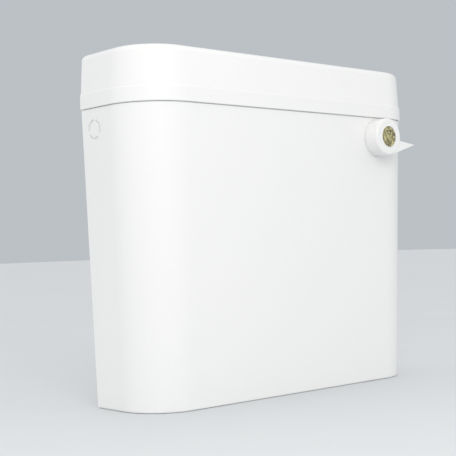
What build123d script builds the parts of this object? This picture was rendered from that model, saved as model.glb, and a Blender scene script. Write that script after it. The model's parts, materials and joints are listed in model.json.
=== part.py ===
import os
from math import acos, atan2, cos, hypot, radians, sin, tan

from build123d import *

os.makedirs("parts", exist_ok=True)

# Slim wall-hung toilet cistern with a front lever, a siphon and a float valve.
# Millimetres. +Z is up, the wall is the plane Y = 0 and the front faces -Y.
# The origin is on the wall, midway between the two wall screws.

# Tank
rim_z = 45.0  # lower edge of the lid's band, above the wall screws
tank_height = 324.6
rim_width = 441.8
rim_depth = 111.2
rim_radius = 58.8
foot_width = 420.3
foot_depth = 99.8
foot_radius = 51.5
wall = 3.0
floor_thickness = 4.0
skirt_height = 38.0  # the walls reach this far below the floor
foot_fillet = 1.5
screw_spacing = 300.0
screw_hole = 6.5
screw_boss = 22.0
screw_boss_height = 8.0

# Rebated rim that the lid drops over
lip_gap = 0.8  # the full-size wall ends this far below the lid's edge
lip_height = 11.0
lip_wall = 3.0
lip_clearance = 0.6
lip_back_clearance = 0.4

# Lid
lid_wall = 2.6  # of the band
cover_wall = 3.2  # of the cover above it
lid_height = 60.5
band_width = 445.0
band_depth = 113.4
band_radius = 61.0
band_height = 16.5
band_edge = 1.4
lid_back = 0.4  # gap behind the lid
shoulder_inset = 1.2
shoulder_radius = 62.0
lid_top_width = 436.9
lid_top_depth = 108.3
lid_top_radius = 52.0
lid_edge = 7.2

# Lever
lever_x = 140.0
lever_z = rim_z - 25.0
lever_travel = 20.0  # degrees
boss_radius = 22.5
boss_proud = 20.0
boss_edge = 2.5
handle_gap = 0.3
blade_reach = 50.3
blade_drop = 8.3
blade_top_drop = 4.5
blade_inset = 1.0
badge_radius = 12.6
badge_thickness = 1.4
spindle_radius = 5.0
bush_radius = 8.0
fit_gap = 0.1  # between a threaded or turned piece and what is on it
bush_flange_radius = 15.0
bush_reach = 14.0  # beyond the pad, inside the tank
pad_radius = 23.5
pad_proud = 1.0
pad_inside = 1.7
pad_inner_radius = 19.0
arm_rest = 6.0  # degrees below level, at rest
arm_y = -50.0
arm_thickness = 4.0
arm_end_radius = 7.5

# Siphon
siphon_y = -50.0
leg_x = 0.0
rod_x = -63.0
duct_width = 44.0
duct_depth = 56.0
duct_wall = 2.5
crest_drop = 76.0  # top of the duct, below the rim
crest_height = 22.0  # clear height over the crest
bell_radius = 43.0
bell_height = 100.0
tail_radius = 23.9
tail_bore = 19.0
flange_radius = 30.0
flange_thickness = 4.0
washer_thickness = 3.0
tail_short = 2.0  # the tail ends this far above the tank's lower edge
backnut_height = 12.0
undercut_width = 1.0  # groove that ends the nut's stretch of thread
undercut_depth = 0.4

# Lift rod and plunger
wire_radius = 1.5
rod_radius = 3.0
link_length = 18.0
plunger_radius = 39.2
plunger_thickness = 3.0
diaphragm_thickness = 0.8
plunger_lift = 18.0  # underside of the plate above the floor, at rest

# Float valve, on the right-hand side wall
valve_y = -21.7
valve_z = rim_z - 23.4
valve_tail_radius = 10.48
valve_hole = 10.8
valve_body_radius = 12.0
valve_bore = 8.0
valve_left = 154.0
valve_shoulder = 204.0
valve_end = 248.0
valve_nut_height = 7.0
seat_x = 194.5
outlet_x = 190.0
pivot_x = 168.0
pivot_drop = 16.5
float_travel = 30.0  # degrees
float_radius = 37.0
float_length = 80.0
float_reach = 98.0  # pivot to float, across, with the valve closed
float_drop = 68.0  # pivot to float, down, with the valve closed
float_y = -50.0
float_rod_radius = 2.5

# Heights that follow from the sizes above
foot_z = rim_z - tank_height
floor_under = foot_z + skirt_height
floor_top = floor_under + floor_thickness
side_slope = (rim_width - foot_width) / 2 / tank_height
front_slope = (rim_depth - foot_depth) / tank_height


def plan(width, depth, radius, z, back=0.0):
    """Outline from above: flat along the wall, rounded at the two front corners."""
    with BuildSketch(Plane.XY.offset(z)) as outline:
        with Locations((0, -(depth + back) / 2)):
            Rectangle(width, depth - back)
        fillet(outline.vertices().group_by(Axis.Y)[0], radius)
    return outline.sketch


def tank_plan(z, inset=0.0):
    """The tapering tank's outline at one height, moved in by the wall."""
    share = (rim_z - z) / tank_height
    width = rim_width + (foot_width - rim_width) * share
    depth = rim_depth + (foot_depth - rim_depth) * share
    radius = rim_radius + (foot_radius - rim_radius) * share
    return plan(width - 2 * inset, depth - inset, radius - inset, z, inset)


def across(x):
    """Plane square to X, whose own x and y are the world's Y and Z."""
    return Plane.YZ.offset(x)


def facing(y):
    """Plane square to Y that looks to the front, whose own x and y are X and Z."""
    return Plane.XZ.offset(-y)


def turned_about_pivot(x, y, z, angle):
    """A point turned about the float valve's pivot, positive as the float rises."""
    dx = x - pivot_x
    dz = z - pivot_z
    a = radians(angle)
    return (pivot_x + dx * cos(a) + dz * sin(a), y, pivot_z - dx * sin(a) + dz * cos(a))


# Tank: one moulding, with a raised floor inside a skirt
shoulder_z = rim_z - lip_gap
lip_back = lid_back + lid_wall + lip_back_clearance
lip_width = band_width - 2 * (lid_wall + lip_clearance)
lip_depth = band_depth - lid_wall - lip_clearance
lip_radius = band_radius - lid_wall - lip_clearance
ledge_z = shoulder_z - wall
rib_height = 22.0
rib_thickness = 3.0
rib_xs = (-165.0, -100.0, 100.0, 165.0)
front_y = -(rim_depth - front_slope * (rim_z - lever_z))
pad_front = front_y - pad_proud
pad_back = front_y + wall + pad_inside
side_x = rim_width / 2 - side_slope * (rim_z - valve_z)
side_pad_inside = 2.6
side_pad_x = side_x - wall - side_pad_inside
knockout_radius = 10.7
knockout_line = 1.6
knockout_depth = 1.2
knockout_bridge = 4.0
side_pad_radius = 16.5

with BuildPart() as tank:
    loft([tank_plan(foot_z), tank_plan(shoulder_z)], ruled=True)
    fillet(tank.faces().sort_by(Axis.Z)[0].edges(), foot_fillet)
    extrude(plan(lip_width, lip_depth, lip_radius, shoulder_z, lip_back), amount=lip_height + lip_gap)
    # water space, up to the ledge under the rebated rim
    loft([tank_plan(floor_top, wall), tank_plan(ledge_z, wall)], ruled=True, mode=Mode.SUBTRACT)
    lip_inner = plan(
        lip_width - 2 * lip_wall, lip_depth - lip_wall, lip_radius - lip_wall, ledge_z, lip_back + lip_wall
    )
    extrude(lip_inner, amount=wall + lip_gap + lip_height + 1, mode=Mode.SUBTRACT)
    # open space under the raised floor
    loft([tank_plan(foot_z - 1, wall), tank_plan(floor_under, wall)], ruled=True, mode=Mode.SUBTRACT)
    # stiffening ribs under the floor
    with BuildSketch(Plane.XY.offset(floor_under)):
        for rib_x in rib_xs:
            with Locations((rib_x, -foot_depth / 2)):
                Rectangle(rib_thickness, foot_depth - 2)
    extrude(amount=-rib_height)
    # wall screws
    with BuildSketch(facing(0)):
        with GridLocations(screw_spacing, 0, 2, 1):
            Circle(screw_boss / 2)
    extrude(amount=screw_boss_height)
    with BuildSketch(facing(0)):
        with GridLocations(screw_spacing, 0, 2, 1):
            Circle(screw_hole / 2)
    extrude(amount=screw_boss_height, mode=Mode.SUBTRACT)
    # flat seats in front and behind, and the hole for the lever's bush
    with BuildSketch(facing(front_y + wall / 2)):
        with Locations((lever_x, lever_z)):
            Circle(pad_radius)
    extrude(amount=front_y + wall / 2 - pad_front)
    with BuildSketch(facing(pad_back)):
        with Locations((lever_x, lever_z)):
            Circle(pad_inner_radius)
    extrude(amount=pad_back - pad_front)
    with BuildSketch(facing(pad_back)):
        with Locations((lever_x, lever_z)):
            Circle(bush_radius + 0.2)
    extrude(amount=pad_back - pad_front, mode=Mode.SUBTRACT)
    # flat seat and hole for the float valve
    with BuildSketch(across(side_pad_x)):
        with Locations((valve_y, valve_z)):
            Circle(side_pad_radius)
    extrude(amount=side_x - wall / 2 - side_pad_x)
    with BuildSketch(across(side_pad_x)):
        with Locations((valve_y, valve_z)):
            Circle(valve_hole)
    extrude(amount=side_x + wall - side_pad_x, mode=Mode.SUBTRACT)
    # hole for the siphon's tail
    with BuildSketch(Plane.XY.offset(floor_under)):
        with Locations((leg_x, siphon_y)):
            Circle(tail_radius + 0.6)
    extrude(amount=floor_thickness, mode=Mode.SUBTRACT)
    # knock-out for a second valve on the left: a ring groove broken by three bridges
    knockout_plane = Plane(origin=(-side_x, valve_y, valve_z), x_dir=(0, 1, 0), z_dir=(-1, 0, -side_slope))
    with BuildSketch(knockout_plane):
        Circle(knockout_radius)
        Circle(knockout_radius - knockout_line, mode=Mode.SUBTRACT)
        with PolarLocations(knockout_radius, 3, start_angle=20):
            Rectangle(3 * knockout_line, knockout_bridge, mode=Mode.SUBTRACT)
    extrude(amount=-knockout_depth, mode=Mode.SUBTRACT)
tank.part.label = "tank"
export_step(tank.part, "parts/tank.step")


# Lid: a tapering cover above a band that laps over the rim
lid_foot_width = band_width - 2 * shoulder_inset
lid_foot_depth = band_depth - shoulder_inset
lid_top_z = rim_z + lid_height
step_z = rim_z + lip_height

with BuildPart() as lid_hollow:
    low = plan(
        lid_foot_width - 2 * cover_wall,
        lid_foot_depth - cover_wall,
        shoulder_radius - cover_wall,
        step_z,
        lid_back + cover_wall,
    )
    high = plan(
        lid_top_width - 2 * cover_wall,
        lid_top_depth - cover_wall,
        lid_top_radius - cover_wall,
        lid_top_z - cover_wall,
        lid_back + cover_wall,
    )
    loft([low, high], ruled=True)
    fillet(lid_hollow.faces().sort_by(Axis.Z)[-1].edges(), lid_edge - cover_wall)

# the rounding runs along the sides and the front, and not along the flat back
with BuildPart() as lid_band:
    extrude(plan(band_width, band_depth, band_radius, rim_z, lid_back), amount=band_height)
    fillet(lid_band.faces().sort_by(Axis.Z)[-1].edges().sort_by(Axis.Y)[:-1], band_edge)

with BuildPart() as lid:
    low = plan(lid_foot_width, lid_foot_depth, shoulder_radius, rim_z + 1, lid_back)
    high = plan(lid_top_width, lid_top_depth, lid_top_radius, lid_top_z, lid_back)
    loft([low, high], ruled=True)
    fillet(lid.faces().sort_by(Axis.Z)[-1].edges(), lid_edge)
    add(lid_band.part)
    skirt = plan(
        band_width - 2 * lid_wall, band_depth - lid_wall, band_radius - lid_wall, rim_z, lid_back + lid_wall
    )
    extrude(skirt, amount=lip_height, mode=Mode.SUBTRACT)
    add(lid_hollow.part, mode=Mode.SUBTRACT)
lid.part.label = "lid"
export_step(lid.part, "parts/lid.step")


# Lever handle: a round boss and a wedge-shaped blade in one moulding
boss_back = pad_front - handle_gap
boss_front = front_y - boss_proud
blade_front = boss_front + blade_inset
tip_distance = hypot(blade_reach, blade_drop)
tangent_angle = -(atan2(blade_drop, blade_reach) + acos(boss_radius / tip_distance))
blade_points = [
    (lever_x, lever_z),
    (lever_x + boss_radius - 0.5, lever_z - blade_top_drop),
    (lever_x + blade_reach, lever_z - blade_drop),
    (lever_x + boss_radius * cos(tangent_angle), lever_z + boss_radius * sin(tangent_angle)),
]
blade_tip_thickness = 3.0
socket_depth = 5.0
hollow_depth = 9.0
bead_inner = badge_radius + 0.15
bead_outer = badge_radius + 1.4
bead_height = 0.4

with BuildPart() as lever_handle:
    with BuildSketch(facing(boss_back)):
        with Locations((lever_x, lever_z)):
            Circle(boss_radius)
    extrude(amount=boss_back - boss_front)
    fillet(lever_handle.faces().sort_by(Axis.Y)[0].edges(), boss_edge)
    with BuildSketch(facing(boss_back - 1)):
        Polygon(*blade_points, align=None)
    extrude(amount=boss_back - 1 - blade_front)
    # the blade's back is cut away towards its tip
    with BuildSketch(Plane.XY.offset(lever_z - 2 * boss_radius)):
        Polygon(
            (lever_x + boss_radius + 1, boss_back + 1),
            (lever_x + blade_reach + 5, boss_back + 1),
            (lever_x + blade_reach + 5, blade_front + blade_tip_thickness),
            (lever_x + boss_radius + 1, boss_back - 3),
            align=None,
        )
    extrude(amount=4 * boss_radius, mode=Mode.SUBTRACT)
    # raised bead round the badge, and the badge's recess
    with BuildSketch(facing(boss_front)):
        with Locations((lever_x, lever_z)):
            Circle(bead_outer)
    extrude(amount=bead_height)
    fillet(lever_handle.faces().sort_by(Axis.Y)[0].edges(), 0.9 * bead_height)
    with BuildSketch(facing(boss_front - bead_height)):
        with Locations((lever_x, lever_z)):
            Circle(bead_inner)
    extrude(amount=-bead_height - badge_thickness, mode=Mode.SUBTRACT)
    # hollow back that clears the bush's flange, and the spindle's socket
    with BuildSketch(facing(boss_back)):
        with Locations((lever_x, lever_z)):
            Circle(bush_flange_radius + 2)
    extrude(amount=hollow_depth, mode=Mode.SUBTRACT)
    with BuildSketch(facing(boss_back - hollow_depth)):
        with Locations((lever_x, lever_z)):
            Circle(spindle_radius)
    extrude(amount=socket_depth, mode=Mode.SUBTRACT)
lever_handle.part.label = "lever_handle"
export_step(lever_handle.part, "parts/lever_handle.step")

with BuildPart() as handle_badge:
    with BuildSketch(facing(boss_front + badge_thickness)):
        with Locations((lever_x, lever_z)):
            Circle(badge_radius)
    extrude(amount=badge_thickness - 0.3)
    fillet(handle_badge.faces().sort_by(Axis.Y)[0].edges(), 0.3)
handle_badge.part.label = "handle_badge"
export_step(handle_badge.part, "parts/handle_badge.step")


# Bush, washer and nut in the front wall
bush_end = pad_back + bush_reach
bush_flange_thickness = 3.0
bush_chamfer = 0.8
lever_washer_radius = 14.0
lever_washer_thickness = 1.5
lever_nut_height = 7.0
lever_nut_flats = 24.0

with BuildPart() as lever_bush:
    with BuildSketch(facing(bush_end)):
        with Locations((lever_x, lever_z)):
            Circle(bush_radius)
    extrude(amount=bush_end - pad_front)
    with BuildSketch(facing(pad_front)):
        with Locations((lever_x, lever_z)):
            Circle(bush_flange_radius)
    extrude(amount=bush_flange_thickness)
    chamfer(lever_bush.faces().sort_by(Axis.Y)[-1].edges(), bush_chamfer)
    with BuildSketch(facing(bush_end)):
        with Locations((lever_x, lever_z)):
            Circle(spindle_radius + 0.2)
    extrude(amount=bush_end - pad_front + bush_flange_thickness, mode=Mode.SUBTRACT)
lever_bush.part.label = "lever_bush"
export_step(lever_bush.part, "parts/lever_bush.step")

with BuildPart() as lever_washer:
    with BuildSketch(facing(pad_back + lever_washer_thickness)):
        with Locations((lever_x, lever_z)):
            Circle(lever_washer_radius)
            Circle(bush_radius + fit_gap, mode=Mode.SUBTRACT)
    extrude(amount=lever_washer_thickness)
lever_washer.part.label = "lever_washer"
export_step(lever_washer.part, "parts/lever_washer.step")

with BuildPart() as lever_nut:
    with BuildSketch(facing(pad_back + lever_washer_thickness + lever_nut_height)):
        with Locations((lever_x, lever_z)):
            RegularPolygon(lever_nut_flats / 2, 6, major_radius=False)
            Circle(bush_radius + fit_gap, mode=Mode.SUBTRACT)
    extrude(amount=lever_nut_height)
lever_nut.part.label = "lever_nut"
export_step(lever_nut.part, "parts/lever_nut.step")


# Spindle, with a squared inner end that carries the lift arm
arm_hub_half = 6.0
arm_hub_play = 1.0  # between the hub and the spindle's round part
screw_pinch = 0.4  # the square ends this far inside the hub
square = 7.0
square_gap = 0.1
spindle_end = arm_y + arm_hub_half - screw_pinch
shoulder_y = arm_y - arm_hub_half - arm_hub_play
socket_floor = boss_back - hollow_depth - socket_depth
screw_shank = 2.0
screw_depth = 12.0
screw_head_radius = 7.0
screw_head_height = 3.0

with BuildPart() as lever_spindle:
    with BuildSketch(facing(shoulder_y)):
        with Locations((lever_x, lever_z)):
            Circle(spindle_radius)
    extrude(amount=shoulder_y - socket_floor)
    with BuildSketch(facing(spindle_end)):
        with Locations((lever_x, lever_z)):
            Rectangle(square, square, rotation=arm_rest)
    extrude(amount=spindle_end - shoulder_y)
    with BuildSketch(facing(spindle_end)):
        with Locations((lever_x, lever_z)):
            Circle(screw_shank)
    extrude(amount=screw_depth, mode=Mode.SUBTRACT)
lever_spindle.part.label = "lever_spindle"
export_step(lever_spindle.part, "parts/lever_spindle.step")

# Lift arm: a flat bar with a hub at the spindle and a slot over the lift rod
reach = lever_x - rod_x
slot_play = wire_radius + 0.7
slot_near = reach - slot_play
slot_far = reach / cos(radians(lever_travel - arm_rest)) + slot_play
slot_height = 5.0
slot_middle = (slot_near + slot_far) / 2
arm_plane = Plane(
    origin=(lever_x, arm_y, lever_z),
    x_dir=(-cos(radians(arm_rest)), 0, -sin(radians(arm_rest))),
    z_dir=(0, -1, 0),
)
hub_radius = 9.0
adjusting_holes = [slot_middle - distance for distance in (18, 30, 42)]

with BuildPart() as lift_arm:
    with BuildSketch(arm_plane):
        Circle(hub_radius)
        with Locations((slot_middle / 2, 0)):
            Rectangle(slot_middle, 2 * arm_end_radius)
        with Locations((slot_middle, 0)):
            SlotOverall(slot_far - slot_near + 2 * arm_end_radius - slot_height, 2 * arm_end_radius)
        with Locations((slot_middle, 0)):
            SlotOverall(slot_far - slot_near, slot_height, mode=Mode.SUBTRACT)
        with Locations(*[(x, 0) for x in adjusting_holes]):
            Circle(slot_height / 2, mode=Mode.SUBTRACT)
    extrude(amount=arm_thickness / 2, both=True)
    with BuildSketch(arm_plane):
        Circle(hub_radius)
    extrude(amount=arm_hub_half, both=True)
    with BuildSketch(arm_plane):
        Rectangle(square + 2 * square_gap, square + 2 * square_gap)
    extrude(amount=arm_hub_half, both=True, mode=Mode.SUBTRACT)
lift_arm.part.label = "lift_arm"
export_step(lift_arm.part, "parts/lift_arm.step")

with BuildPart() as arm_screw:
    with BuildSketch(facing(arm_y + arm_hub_half + screw_head_height)):
        with Locations((lever_x, lever_z)):
            Circle(screw_head_radius)
    extrude(amount=screw_head_height)
    fillet(arm_screw.faces().sort_by(Axis.Y)[-1].edges(), screw_head_height / 2)
    with BuildSketch(facing(arm_y + arm_hub_half)):
        with Locations((lever_x, lever_z)):
            Circle(screw_shank - 0.05)
    extrude(amount=screw_depth - 1)
arm_screw.part.label = "arm_screw"
export_step(arm_screw.part, "parts/arm_screw.step")


# Link: a wire bent into a C, through the arm's slot and the rod's eye
hook_z = lever_z - reach * tan(radians(arm_rest))
eye_z = hook_z - link_length
link_front_room = 4.5
link_back_room = 3.0
link_bend = 3.0
link_y = arm_y - arm_thickness / 2 - link_front_room
link_back = arm_y + arm_thickness / 2 + link_back_room

with BuildPart() as lift_link:
    with BuildLine() as link_path:
        FilletPolyline(
            (rod_x, link_back, hook_z),
            (rod_x, link_y, hook_z),
            (rod_x, link_y, eye_z),
            (rod_x, link_back, eye_z),
            radius=link_bend,
        )
    with BuildSketch(Plane(origin=(rod_x, link_back, hook_z), z_dir=(0, -1, 0))):
        Circle(wire_radius)
    sweep(path=link_path.wires()[0])
lift_link.part.label = "lift_link"
export_step(lift_link.part, "parts/lift_link.step")

# Lift rod, with a flattened eye at its top and a collar above the plunger
plate_z = floor_top + plunger_lift
diaphragm_z = plate_z + plunger_thickness
washer_z = diaphragm_z + diaphragm_thickness
retainer_thickness = 2.0
collar_z = washer_z + retainer_thickness
collar_radius = 8.0
collar_height = 4.0
plunger_hub = 8.0
plunger_nut_height = 5.0
rod_past_nut = 1.5
rod_end = plate_z - plunger_hub - plunger_nut_height - rod_past_nut
eye_radius = 4.5
eye_flat = 5.5
eye_thickness = 4.0

with BuildPart() as lift_rod:
    with BuildSketch(Plane.XY.offset(rod_end)):
        with Locations((rod_x, siphon_y)):
            Circle(rod_radius)
    extrude(amount=eye_z - 3 - rod_end)
    with BuildSketch(Plane.XY.offset(collar_z)):
        with Locations((rod_x, siphon_y)):
            Circle(collar_radius)
    extrude(amount=collar_height)
    with BuildSketch(facing(siphon_y)):
        with Locations((rod_x, eye_z)):
            Circle(eye_radius)
        with Locations((rod_x, eye_z - eye_flat / 2)):
            Rectangle(2 * rod_radius, eye_flat)
    extrude(amount=eye_thickness / 2, both=True)
    with BuildSketch(facing(siphon_y)):
        with Locations((rod_x, eye_z)):
            Circle(wire_radius + 0.5)
    extrude(amount=eye_thickness / 2, both=True, mode=Mode.SUBTRACT)
lift_rod.part.label = "lift_rod"
export_step(lift_rod.part, "parts/lift_rod.step")

# Plunger: perforated plate, flap, retaining plate and nut
rod_hole = rod_radius + 0.05
port_ring = 24.0
port_radius = 7.0
hub_ring = 9.0
skirt_ring = 2.0
retainer_radius = 17.0
plunger_nut_flats = 10.0

with BuildPart() as plunger_plate:
    with BuildSketch(Plane.XY.offset(plate_z)):
        with Locations((rod_x, siphon_y)):
            Circle(plunger_radius)
            with PolarLocations(port_ring, 8):
                Circle(port_radius, mode=Mode.SUBTRACT)
    extrude(amount=plunger_thickness)
    with BuildSketch(Plane.XY.offset(plate_z)):
        with Locations((rod_x, siphon_y)):
            Circle(plunger_radius)
            Circle(plunger_radius - skirt_ring, mode=Mode.SUBTRACT)
            Circle(hub_ring)
    extrude(amount=-plunger_hub)
    with BuildSketch(Plane.XY.offset(plate_z - plunger_hub)):
        with Locations((rod_x, siphon_y)):
            Circle(rod_hole)
    extrude(amount=plunger_hub + plunger_thickness, mode=Mode.SUBTRACT)
plunger_plate.part.label = "plunger_plate"
export_step(plunger_plate.part, "parts/plunger_plate.step")

with BuildPart() as plunger_diaphragm:
    with BuildSketch(Plane.XY.offset(diaphragm_z)):
        with Locations((rod_x, siphon_y)):
            Circle(plunger_radius - 1)
            Circle(rod_hole, mode=Mode.SUBTRACT)
    extrude(amount=diaphragm_thickness)
plunger_diaphragm.part.label = "plunger_diaphragm"
export_step(plunger_diaphragm.part, "parts/plunger_diaphragm.step")

with BuildPart() as diaphragm_plate:
    with BuildSketch(Plane.XY.offset(washer_z)):
        with Locations((rod_x, siphon_y)):
            Circle(retainer_radius)
            Circle(rod_hole, mode=Mode.SUBTRACT)
    extrude(amount=collar_z - washer_z)
diaphragm_plate.part.label = "diaphragm_plate"
export_step(diaphragm_plate.part, "parts/diaphragm_plate.step")

with BuildPart() as plunger_nut:
    with BuildSketch(Plane.XY.offset(plate_z - plunger_hub)):
        with Locations((rod_x, siphon_y)):
            RegularPolygon(plunger_nut_flats / 2, 6, major_radius=False)
            Circle(rod_hole, mode=Mode.SUBTRACT)
    extrude(amount=-plunger_nut_height)
plunger_nut.part.label = "plunger_nut"
export_step(plunger_nut.part, "parts/plunger_nut.step")


# Siphon body: bell, inverted U duct, down leg, flange and threaded tail
crest_z = rim_z - crest_drop
duct_foot = rim_z - 155.0
bell_top = floor_top + bell_height
leg_round_z = rim_z - 195.0
flange_z = floor_top + washer_thickness
tail_end = foot_z + tail_short
duct_middle = (rod_x + leg_x) / 2
duct_crown = 24.0  # radius over the top of the duct
duct_edge = 5.0
leg_radius = duct_width / 2
groove_z = floor_under - backnut_height
guide_radius = 7.0
guide_height = 5.0
inlet_height = 13.0  # openings round the bell's foot
inlet_width = 40.0
inlet_count = 4


def duct_solid(inset):
    """The inverted U duct, its outside or, moved in by the wall, its inside."""
    top = crest_z - inset
    width = duct_width - 2 * inset
    gap = leg_x - rod_x - width
    gap_top = crest_z - crest_height - 2 * duct_wall + inset
    with BuildPart() as duct:
        with BuildSketch(facing(siphon_y)) as shape:
            with Locations((duct_middle, (top + duct_foot) / 2)):
                Rectangle(leg_x - rod_x + width, top - duct_foot)
            fillet(shape.vertices().group_by(Axis.Y)[-1], duct_crown - inset)
            with Locations((duct_middle, gap_top - gap / 2)):
                Circle(gap / 2, mode=Mode.SUBTRACT)
            with Locations((duct_middle, (gap_top - gap / 2 + duct_foot) / 2)):
                Rectangle(gap, gap_top - gap / 2 - duct_foot, mode=Mode.SUBTRACT)
        extrude(amount=duct_depth / 2 - inset, both=True)
        sides = duct.faces().filter_by(Axis.Y)
        rims = ShapeList([e for side in sides for e in side.edges() if e.center().Z > duct_foot + 0.1])
        fillet(rims, duct_edge - inset)
    return duct.part


def duct_end(x, inset):
    """Section of one leg of the duct at its foot."""
    with BuildSketch(Plane.XY.offset(duct_foot)) as section:
        with Locations((x, siphon_y)):
            RectangleRounded(duct_width - 2 * inset, duct_depth - 2 * inset, duct_edge - inset)
    return section.sketch


def ring_section(x, radius, z):
    """Round section of the bell or of the down leg."""
    with BuildSketch(Plane.XY.offset(z)) as section:
        with Locations((x, siphon_y)):
            Circle(radius)
    return section.sketch


duct_outside = duct_solid(0)
duct_inside = duct_solid(duct_wall)

with BuildPart() as waterway:
    add(duct_inside)
    loft([ring_section(rod_x, bell_radius - duct_wall, bell_top), duct_end(rod_x, duct_wall)])
    extrude(ring_section(rod_x, bell_radius - duct_wall, floor_top - 1), amount=bell_height + 1)
    loft([ring_section(leg_x, leg_radius - duct_wall, leg_round_z), duct_end(leg_x, duct_wall)])
    extrude(ring_section(leg_x, tail_bore, tail_end - 1), amount=leg_round_z - tail_end + 1)

with BuildPart() as siphon_body:
    add(duct_outside)
    loft([ring_section(rod_x, bell_radius, bell_top), duct_end(rod_x, 0)])
    extrude(ring_section(rod_x, bell_radius, floor_top), amount=bell_height)
    # water enters through openings round the bell's foot
    with BuildSketch(Plane.XY.offset(floor_top)):
        with Locations((rod_x, siphon_y)):
            with PolarLocations(bell_radius, inlet_count):
                Rectangle(bell_radius / 2, inlet_width)
    extrude(amount=inlet_height, mode=Mode.SUBTRACT)
    loft([ring_section(leg_x, leg_radius, leg_round_z), duct_end(leg_x, 0)])
    extrude(ring_section(leg_x, leg_radius, flange_z), amount=leg_round_z - flange_z)
    extrude(ring_section(leg_x, flange_radius, flange_z), amount=flange_thickness)
    extrude(ring_section(leg_x, tail_radius, tail_end), amount=flange_z - tail_end)
    # the thread's groove at the back nut's outer face
    extrude(ring_section(leg_x, tail_radius, groove_z), amount=undercut_width, mode=Mode.SUBTRACT)
    extrude(ring_section(leg_x, tail_radius - undercut_depth, groove_z), amount=undercut_width)
    # guide for the lift rod
    extrude(ring_section(rod_x, guide_radius, crest_z), amount=guide_height)
    add(waterway.part, mode=Mode.SUBTRACT)
    guide_hole = ring_section(rod_x, rod_radius + 0.4, crest_z - guide_height)
    extrude(guide_hole, amount=2 * guide_height + 1, mode=Mode.SUBTRACT)
siphon_body.part.label = "siphon_body"
export_step(siphon_body.part, "parts/siphon_body.step")

with BuildPart() as siphon_washer:
    extrude(ring_section(leg_x, flange_radius - 0.5, floor_top), amount=washer_thickness)
    tail_hole = ring_section(leg_x, tail_radius + fit_gap, floor_top)
    extrude(tail_hole, amount=washer_thickness, mode=Mode.SUBTRACT)
siphon_washer.part.label = "siphon_washer"
export_step(siphon_washer.part, "parts/siphon_washer.step")

# Back nut with grip lobes, for a hand or a wrench
backnut_radius = 31.0
lobe_count = 8
lobe_radius = 4.0

with BuildPart() as siphon_backnut:
    with BuildSketch(Plane.XY.offset(floor_under)):
        with Locations((leg_x, siphon_y)):
            Circle(backnut_radius)
            with PolarLocations(backnut_radius, lobe_count):
                Circle(lobe_radius)
            Circle(tail_radius + fit_gap, mode=Mode.SUBTRACT)
    extrude(amount=-backnut_height)
    chamfer(siphon_backnut.faces().sort_by(Axis.Z)[0].outer_wire().edges(), 1)
siphon_backnut.part.label = "siphon_backnut"
export_step(siphon_backnut.part, "parts/siphon_backnut.step")


# Float valve body: inlet tail, bore for the piston, outlet boss and pivot lugs
pivot_z = valve_z - pivot_drop
pin_radius = 1.5
lug_gap = 3.7  # half the space between the two lugs
lug_thickness = 3.0
lug_radius = 5.0
outlet_radius = 9.0
outlet_end = valve_z - 24.0
outlet_bore = 3.5
tube_radius = 6.5
tube_socket = 10.0
inlet_bore = 5.5
seat_disc_x = seat_x + 1.5
seat_disc_thickness = 3.0
bore_end = seat_disc_x + seat_disc_thickness
finger_slot = 12.0
outer_nut_x = side_x + 2.5
undercut_x = outer_nut_x + valve_nut_height - undercut_width
lug_faces = (valve_y - lug_gap, valve_y + lug_gap + lug_thickness)

with BuildPart() as valve_body:
    with BuildSketch(across(valve_left)):
        with Locations((valve_y, valve_z)):
            Circle(valve_body_radius)
    extrude(amount=valve_shoulder - valve_left)
    with BuildSketch(across(valve_shoulder)):
        with Locations((valve_y, valve_z)):
            Circle(valve_tail_radius)
    extrude(amount=valve_end - valve_shoulder)
    with BuildSketch(across(undercut_x)):
        with Locations((valve_y, valve_z)):
            Circle(valve_tail_radius)
            Circle(valve_tail_radius - undercut_depth, mode=Mode.SUBTRACT)
    extrude(amount=undercut_width, mode=Mode.SUBTRACT)
    with BuildSketch(Plane.XY.offset(valve_z)):
        with Locations((outlet_x, valve_y)):
            Circle(outlet_radius)
    extrude(amount=outlet_end - valve_z)
    for lug_face in lug_faces:
        with BuildSketch(facing(lug_face)):
            with Locations((pivot_x, pivot_z)):
                Circle(lug_radius)
            with Locations((pivot_x, (pivot_z + valve_z) / 2)):
                Rectangle(2 * lug_radius, pivot_drop)
        extrude(amount=lug_thickness)
    # piston bore, inlet way and outlet way
    with BuildSketch(across(valve_left)):
        with Locations((valve_y, valve_z)):
            Circle(valve_bore)
    extrude(amount=bore_end - valve_left, mode=Mode.SUBTRACT)
    with BuildSketch(across(seat_x)):
        with Locations((valve_y, valve_z)):
            Circle(inlet_bore)
    extrude(amount=valve_end - seat_x, mode=Mode.SUBTRACT)
    with BuildSketch(Plane.XY.offset(outlet_end)):
        with Locations((outlet_x, valve_y)):
            Circle(tube_radius)
    extrude(amount=tube_socket, mode=Mode.SUBTRACT)
    with BuildSketch(Plane.XY.offset(outlet_end)):
        with Locations((outlet_x, valve_y)):
            Circle(outlet_bore)
    extrude(amount=valve_z - outlet_end, mode=Mode.SUBTRACT)
    # slot for the float lever's finger, and the pivot's hole
    with BuildSketch(Plane.XY.offset(valve_z)):
        with Locations((pivot_x, valve_y)):
            Rectangle(finger_slot, 2 * lug_gap)
    extrude(amount=-(valve_body_radius + 1), mode=Mode.SUBTRACT)
    with BuildSketch(facing(valve_y)):
        with Locations((pivot_x, pivot_z)):
            Circle(pin_radius + 0.05)
    extrude(amount=lug_gap + lug_thickness + 1, both=True, mode=Mode.SUBTRACT)
valve_body.part.label = "valve_body"
export_step(valve_body.part, "parts/valve_body.step")

# Seat: a nozzle on a disc, with a spigot in the inlet
nozzle_radius = 3.6
nozzle_bore = 2.2
spigot_length = 9.0

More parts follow.
